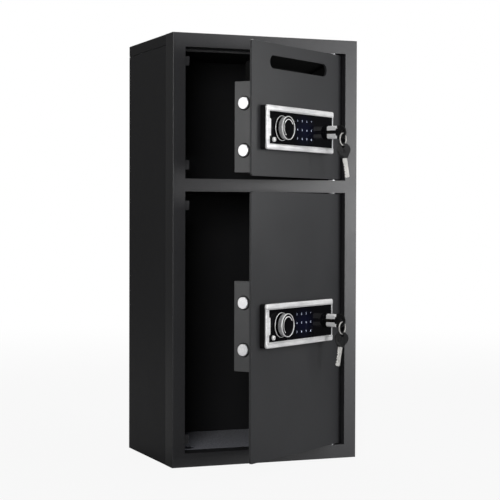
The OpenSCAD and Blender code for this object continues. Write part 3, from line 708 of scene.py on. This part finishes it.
def makeBezel():
    left, right, top, back = bezel["left"], bezel["right"], bezel["top"], bezel["back"]
    bars = []
    for side in (-1, 1):
        inner, outer = side * (top - bezel["bar"]), side * top
        low, high = sorted((inner, outer))
        bar = slab("bezelBars", (left, bezel["front"], low), (right, back, high))
        bevelled(bar, *bezel["corner"],
                 lambda a, b: abs(a.y - b.y) > near and abs(a.z - outer) < near)
        bevelled(bar, *bezel["innerCorner"],
                 lambda a, b: abs(a.y - b.y) > near and abs(a.z - inner) < near)
        bevelled(bar, *bezel["crown"], lambda a, b: max(a.y, b.y) < bezel["front"] + near)
        bars.append(bar)
    bars = dressed(joined(bars, "bezelBars"), finishes["silver_trim"])
    onBothDoors(smooth(bars, bezel["crease"]), "door", "bezel")

    high = top - bezel["bar"] + bezel["rimLap"]
    rimFront, rimEnd = bezel["rimFront"], left + bezel["rimLeft"]
    rim = slab("bezelRims", (left + bezel["rimIn"], rimFront, -high), (rimEnd, back, high))
    bevelled(rim, *bezel["rimEdge"], lambda a, b: (
        abs(a.z - b.z) > near and a.y < rimFront + near and a.x < rimEnd - near
    ))
    tab = slab("tab", (rimEnd - lap, rimFront, -bezel["tabTop"]),
               (rimEnd + bezel["tab"], back, bezel["tabTop"]))
    bevelled(tab, *bezel["tabCorner"], lambda a, b: abs(a.y - b.y) > near and a.x > rimEnd)
    other = slab("other", (right - bezel["rimRight"], bezel["rimLow"], -high),
                 (right - bezel["rimIn"], back, high))
    rims = joined([combined(rim, tab, "UNION"), other], "bezelRims")
    roundEdges(dressed(rims, finishes["silver_trim"]), bezel["edge"])
    onBothDoors(rims, "door")


def makeGlass():
    glass = shutCopy("lower_keypad_glass", "keypadGlass")
    merged(glass)
    roundEdges(glass, glassEdge)
    flat = glass.data.uv_layers.new(name="shutDoor")
    for corner in glass.data.loops:
        place = glass.data.vertices[corner.vertex_index].co / mm
        flat.data[corner.index].uv = (place.x, place.z)
    onBothDoors(dressed(glass, panelGlass), "door", "keypad_glass")


# Collar round the key: two steel cheeks with a slot between them, on a black base

collar = {
    "x": 74.0, "front": -157.5, "split": -140.4, "slot": 6.0, "flats": 14.0, "reach": 20.0,
    "steelEdge": 0.35, "baseEdge": 0.3,
}


def makeCollar():
    x, split, reach = collar["x"], collar["split"], collar["reach"]
    ahead, slot, cheek = collar["front"] - lap, collar["slot"] / 2, collar["flats"] / 2
    steel = shutCopy("lower_key_collar", "keyCollar")
    base = shutCopy("lower_key_collar", "collarBase")
    cut(base, "ahead", (x - reach, ahead, -reach), (x + reach, split, reach))
    cut(steel, "behind", (x - reach, split, -reach), (x + reach, 0, reach))
    cut(steel, "slot", (x - reach, ahead, -slot), (x + reach, split + lap, slot))
    flats = slab("flats", (x - cheek, ahead, -reach), (x + cheek, split + lap, reach))
    combined(steel, flats, "INTERSECT")
    for piece, finish, width in (
        (steel, satinSteel, collar["steelEdge"]), (base, finishes["black_gloss"], collar["baseEdge"]),
    ):
        merged(piece)
        dressed(roundEdges(piece, width), finish)
    onBothDoors(steel, "door", "key_collar")
    onBothDoors(base, "door")


# Key in the lock, spare key and split ring; a key's line runs along Y with its tip towards +Y

key = {
    "headBack": -147.8, "eyeY": -168.8, "ringZ": -12.45, "gap": 0.02,
    "spareZ": -23.05, "spareDrop": 22.85, "spareTurn": 25.0, "tilt": {"upper": -8.0, "lower": 8.0},
    "bow": 12.2, "bowMiddle": -14.8, "thick": 3.5, "neck": 6.0, "shoulder": -10.1, "headEdge": 0.35,
    "cheekIn": 0.2, "eye": 3.2, "eyeMiddle": -21.0, "crease": 30,
    "grip": 7.6, "gripMiddle": -11.4, "gripDepth": 0.45, "gripFlat": 0.62,
    "ridge": (0.3, 3.2, 0.35), "ridgeIn": 0.32, "ridgePitch": 3.2,
    "bladeWidth": 7.6, "bladeThick": 2.2, "bladeLength": 34.0, "tip": (1.6, 1), "bladeEdge": 0.12,
    "groove": 1.6, "grooveDepth": 0.5, "grooveShort": 4.0, "grooveSide": 0.6,
    "cuts": [(10.0, 1.2), (14.6, 1.7), (19.0, 1.2), (23.5, 1.7), (28.0, 1.2)],
    "ringRadius": 10.6, "ringSteps": 64, "ringCrease": 60,
    "ringQuarter": [(0.62, 0), (0.8, 0.12), (0.88, 0.42), (0.8, 0.75), (0.5, 0.88)],
}


def makeHead(spare):  # the spare's head is full down to the blade, the other steps in at the collar
    half, neck, grip = key["thick"] / 2, key["neck"], key["gripMiddle"]
    head = rod("keyHead", (0, key["bowMiddle"], 0), key["bow"], key["thick"])
    if spare:
        wide = key["bow"] - key["cheekIn"]
        cheeks = slab("cheeks", (-half, key["bowMiddle"], -wide), (half, -key["gap"], wide))
        stretched(cheeks, (1, 1, neck / wide), test=lambda face: face.normal.y > 0.9)
        combined(head, cheeks, "UNION")
    else:
        past = 2 * key["bow"]
        cut(head, "beyond", (-past, key["shoulder"], -past), (past, past, past))
        stem = slab("stem", (-half, key["shoulder"] - lap, -neck), (half, -key["gap"], neck))
        combined(head, stem, "UNION")
    eye = rod("eye", (0, key["eyeMiddle"], 0), key["eye"], key["thick"] + 2 * lap, sides=32)
    combined(head, eye, "DIFFERENCE")
    for side in (-1, 1):
        place = side * (half + lap - key["gripDepth"])
        hollow = rod("grip", (place, grip, 0), key["grip"], 2 * lap, sides=40)
        stretched(hollow, (1, key["gripFlat"], 1), (0, grip, 0))
        combined(head, hollow, "DIFFERENCE")
        for step in (-1, 0, 1):
            ridge = slab("ridge", [-v for v in key["ridge"]], key["ridge"])
            moved(ridge, side * (half - key["ridgeIn"]), grip, step * key["ridgePitch"])
            combined(head, ridge, "UNION")
    roundEdges(head, key["headEdge"], angle=key["crease"])
    return dressed(head, finishes["black_plastic"])


def makeBlade():
    half, length, high = key["bladeThick"] / 2, key["bladeLength"], key["bladeWidth"] / 2
    blade = slab("keyBlade", (-half, key["gap"], -high), (half, length, high))
    bevelled(blade, *key["tip"],
             lambda a, b: min(a.y, b.y) > length - near and abs(a.x - b.x) > near)
    for place, depth in key["cuts"]:
        combined(blade, rod("cut", (0, place, high), depth, 2 * high, sides=20), "DIFFERENCE")
    end, wide = length - key["grooveShort"], key["groove"] / 2
    for side in (-1, 1):
        groove = slab("groove", (half - key["grooveDepth"], -lap, -wide), (half + lap, end, wide))
        if side < 0:
            groove.data.transform(Matrix.Rotation(math.pi, 4, "Y"))
        combined(blade, moved(groove, z=-key["grooveSide"] * side), "DIFFERENCE")
    roundEdges(blade, key["bladeEdge"], segments=1, angle=key["crease"])
    return dressed(blade, finishes["nickel"])


def placedKey(piece, door, name, body, replaced, matrix):
    copy = newObject(door + name, piece.data.copy())
    copy.data.transform(doorPlace(door) @ matrix)
    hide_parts(door + "_" + replaced)
    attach(copy, door + "_" + body)


def ringOutline():  # the section of the split ring's two coils, mirrored from a quarter of it
    quarter = [(-out, up) for out, up in key["ringQuarter"]]
    half = quarter + [(-out, up) for out, up in reversed(quarter)]
    whole = half + [(-out, -up) for out, up in half[1:]]
    return [(key["ringRadius"] + out, up) for out, up in whole]


def makeKeys():
    head, spare, blade = makeHead(False), makeHead(True), makeBlade()
    inLock = Matrix.Translation((collar["x"] * mm, key["headBack"] * mm, 0))
    for door in doors:
        hanging = (
            Matrix.Translation((collar["x"] * mm, key["eyeY"] * mm, key["spareZ"] * mm))
            @ Matrix.Rotation(math.radians(key["spareTurn"]), 4, "Z")
            @ Matrix.Rotation(math.radians(key["tilt"][door] - 90), 4, "X")
            @ Matrix.Translation((0, key["spareDrop"] * mm, 0))
        )
        placedKey(head, door, "KeyHead", "key", "key_head", inLock)
        placedKey(blade, door, "KeyBlade", "key", "key_blade", inLock)
        placedKey(spare, door, "SpareHead", "spare_key", "spare_head", hanging)
        placedKey(blade, door, "SpareBlade", "spare_key", "spare_blade", hanging)
    for done in (head, spare, blade):
        bpy.data.objects.remove(done)
    ring = turned("keyRing", ringOutline(), key["ringSteps"])
    dressed(moved(ring, collar["x"], key["eyeY"], key["ringZ"]), finishes["nickel"])
    onBothDoors(smooth(ring, key["ringCrease"]), "key_ring", "key_ring")


# Knob, the broken ring on its face and its ring on the glass

knob = {
    "middle": -74.0, "steps": 96,
    "crease": {"waist": 30, "body": 30, "rim": 50, "face": 40, "mark": 35, "ground": 50},
    "waist": [(0, -135.8), (17.6, -135.8), (17.6, -140.6), (0, -140.6)],
    # the waist is black gloss, a painted reflection of the dark glass on the knob's side near its base
    "body": [
        (17.2, -140.2), (18.6, -140.2), (19.25, -140.8), (19.35, -147.0), (18.6, -147.4),
        (17.2, -147.4), (17.2, -140.2),
    ],
    "rim": [
        (18.7, -147.1), (19.74, -147.1), (19.74, -148.8), (19.55, -149.15), (19.2, -149.29),
        (18.85, -149.1), (18.7, -148.7), (18.7, -147.1),
    ],
    "face": [
        (0, -148.75), (6, -148.7), (12, -148.5), (16.6, -148.3), (18.69, -147.9), (18.69, -147.3),
        (0, -147.3),
    ],
    "mark": [
        (13.6, -148.3), (13.7, -148.95), (14.0, -149.15), (14.8, -149.12), (15.1, -148.85),
        (15.1, -148.2), (13.6, -148.3),
    ],
    "markArcs": [(-30, 205), (220, 85)],  # start and sweep in degrees
    "markStep": 5,
    "ground": [
        (20.15, -135.49), (20.3, -136.2), (20.65, -136.45), (21.0, -136.2), (21.2, -135.49),
        (20.15, -135.49),
    ],
}


def knobPart(name, finish, body="knob", replaced=None):
    piece = moved(turned("knob" + name.capitalize(), knob[name], knob["steps"]), knob["middle"])
    onBothDoors(smooth(dressed(piece, finish), knob["crease"][name]), body, replaced)


def makeKnob():
    # the black waist is a painted reflection of the dark glass
    knobPart("waist", finishes["black_gloss"], replaced="knob")
    knobPart("body", knobSide)
    knobPart("rim", satinSteel)
    knobPart("face", finishes["black_gloss"])
    arcs = [
        turnedPart("knobMark", knob["mark"], sweep // knob["markStep"], start, sweep)
        for start, sweep in knob["markArcs"]
    ]
    mark = dressed(moved(joined(arcs, "knobMark"), knob["middle"]), satinSteel)
    onBothDoors(smooth(mark, knob["crease"]["mark"]), "knob")
    knobPart("ground", satinSteel, "door")


# Backlit keypad figures, standing just proud of the glass

keypad = {
    "rows": ["123*", "4560", "789#"], "left": -23.9, "pitchX": 15.3, "pitchZ": 15.2,
    "figure": 4.9, "curveSteps": 3, "glass": -135.5, "proud": 0.05,
}


def makeFigures():
    figures = []
    for row, line in enumerate(keypad["rows"]):
        for column, figure in enumerate(line):
            x = keypad["left"] + column * keypad["pitchX"]
            y = keypad["glass"] - keypad["proud"]
            z = (1 - row) * keypad["pitchZ"]
            noneSelected()
            bpy.ops.object.text_add(
                location=(x * mm, y * mm, z * mm), rotation=(math.pi / 2, 0, 0),
            )
            text = bpy.context.object.data
            text.body = figure
            text.size = keypad["figure"] * mm
            text.align_x, text.align_y = "CENTER", "CENTER"
            text.extrude = keypad["proud"] * mm
            text.resolution_u = keypad["curveSteps"]
            bpy.ops.object.convert(target="MESH")
            figures.append(bpy.context.object)
    plate = joined(figures, "keypadFigures")
    settle(plate)
    onBothDoors(dressed(plate, figureLight), "door")


# Start button with a power mark: a broken ring and a bar

button = {
    "x": -101.0, "z": -20.0, "steps": 48, "crease": 50,
    "profile": [
        (0, -139.48), (2.3, -139.4), (3.3, -138.8), (3.85, -137.8), (3.98, -136.6),
        (3.98, -130.7), (4.95, -130.7), (4.95, -129.75), (0, -129.75),
    ],
    "arc": [(1.35, -139.3), (1.35, -139.62), (1.85, -139.62), (1.85, -139.3), (1.35, -139.3)],
    "arcSteps": 30, "arcStart": 290, "arcSweep": 320,
    "bar": [(-0.225, -139.62, 0.7), (0.225, -139.3, 2.2)],  # two corners
}


def makeButton():
    cap = turned("startButton", button["profile"], button["steps"])
    dressed(moved(cap, button["x"], z=button["z"]), satinSteel)
    onBothDoors(smooth(cap, button["crease"]), "start_button", "start_button")
    arc = turnedPart("startMark", button["arc"], button["arcSteps"], button["arcStart"],
                     button["arcSweep"])
    mark = joined([arc, slab("bar", *button["bar"])], "startMark")
    moved(mark, button["x"], z=button["z"])
    onBothDoors(dressed(mark, finishes["black_plastic"]), "start_button")


# Pan-head screws that hold the bolt box, each turned a little further

screw = {
    "head": [(0, 1.75), (1.4, 1.72), (2.5, 1.35), (3.1, 0.6), (3.2, 0), (0, 0)],
    "steps": 24, "crease": 35,
    "cross": 3.4, "crossWidth": 0.8, "crossDepth": 0.9, "boxBack": -84.0,
    "places": [(-131, 66), (-131, -66), (91, 66), (91, -66)], "firstTurn": 0.4, "nextTurn": 0.9,
}


def makeScrews():
    head = turned("boxScrews", screw["head"], screw["steps"])
    top, depth = screw["head"][0][1], screw["crossDepth"]
    for wide, tall in ((screw["crossWidth"], screw["cross"]), (screw["cross"], screw["crossWidth"])):
        cut(head, "cross", (-wide / 2, top - depth, -tall / 2), (wide / 2, top + depth, tall / 2))
    heads = []
    for count, (x, z) in enumerate(screw["places"]):
        place = Matrix.Translation((x * mm, screw["boxBack"] * mm, z * mm))
        turn = Matrix.Rotation(screw["firstTurn"] + count * screw["nextTurn"], 4, "Y")
        copy = newObject("boxScrew", head.data.copy())
        copy.data.transform(place @ turn)
        heads.append(copy)
    bpy.data.objects.remove(head)
    screws = dressed(joined(heads, "boxScrews"), finishes["zinc"])
    onBothDoors(smooth(screws, screw["crease"]), "door")


# Floor and sky: both are white to the camera, and the floor keeps the shadow near the cabinet

room = {
    "floorSize": 24.0, "floorDrop": 0.0005, "floorColour": (0.25, 0.25, 0.25, 1),
    "floorWhite": 0.92, "fade": (0.9, 3.5), "skyWhite": 1.0, "skyLight": 0.12, "skyGloss": 0.13,
}


def makeFloor():
    noneSelected()
    bpy.ops.mesh.primitive_plane_add(size=room["floorSize"], location=(0, 0, -room["floorDrop"]))
    floor = bpy.context.object
    floor.name = "studioFloor"
    made, at = newMaterial("floorWhite")
    away = at.node("ShaderNodeVectorMath", {"operation": "LENGTH"}, {0: at}, "Value")
    white = room["floorWhite"] + away.clear(*room["fade"]) * (1.0 - room["floorWhite"])
    seen = at.node("ShaderNodeLightPath", None, None, "Is Camera Ray") * white
    matt = at.node("ShaderNodeBsdfDiffuse", None, {"Color": room["floorColour"]})
    glow = at.node("ShaderNodeEmission", None, {"Color": (1, 1, 1, 1), "Strength": 1.0})
    mix = at.node("ShaderNodeMixShader", None, {0: seen, 1: matt, 2: glow})
    at.node("ShaderNodeOutputMaterial", None, {"Surface": mix})
    floor.data.materials.append(made)


def makeSky():
    world = bpy.data.worlds.new("studioSky")
    bpy.context.scene.world = world
    world.use_nodes = True
    world.node_tree.nodes.clear()
    start = Wire(world.node_tree, None)
    camera = start.node("ShaderNodeLightPath", None, None, "Is Camera Ray")
    gloss = start.node("ShaderNodeLightPath", None, None, "Is Glossy Ray")
    light = room["skyLight"]
    strength = light + camera * (room["skyWhite"] - light) + gloss * (room["skyGloss"] - light)
    inputs = {"Color": (1, 1, 1, 1), "Strength": strength}
    sky = start.node("ShaderNodeBackground", None, inputs)
    start.node("ShaderNodeOutputWorld", None, {"Surface": sky})


makeSheets()
makeSeam()
makeBezel()
makeGlass()
makeCollar()
makeKeys()
makeKnob()
makeFigures()
makeButton()
makeScrews()
print("lock panels dressed")

makeCamera()
makeLamps()
makeFloor()
makeSky()
print("camera, lamps and floor placed")

bpy.context.scene.view_settings.view_transform = "Standard"
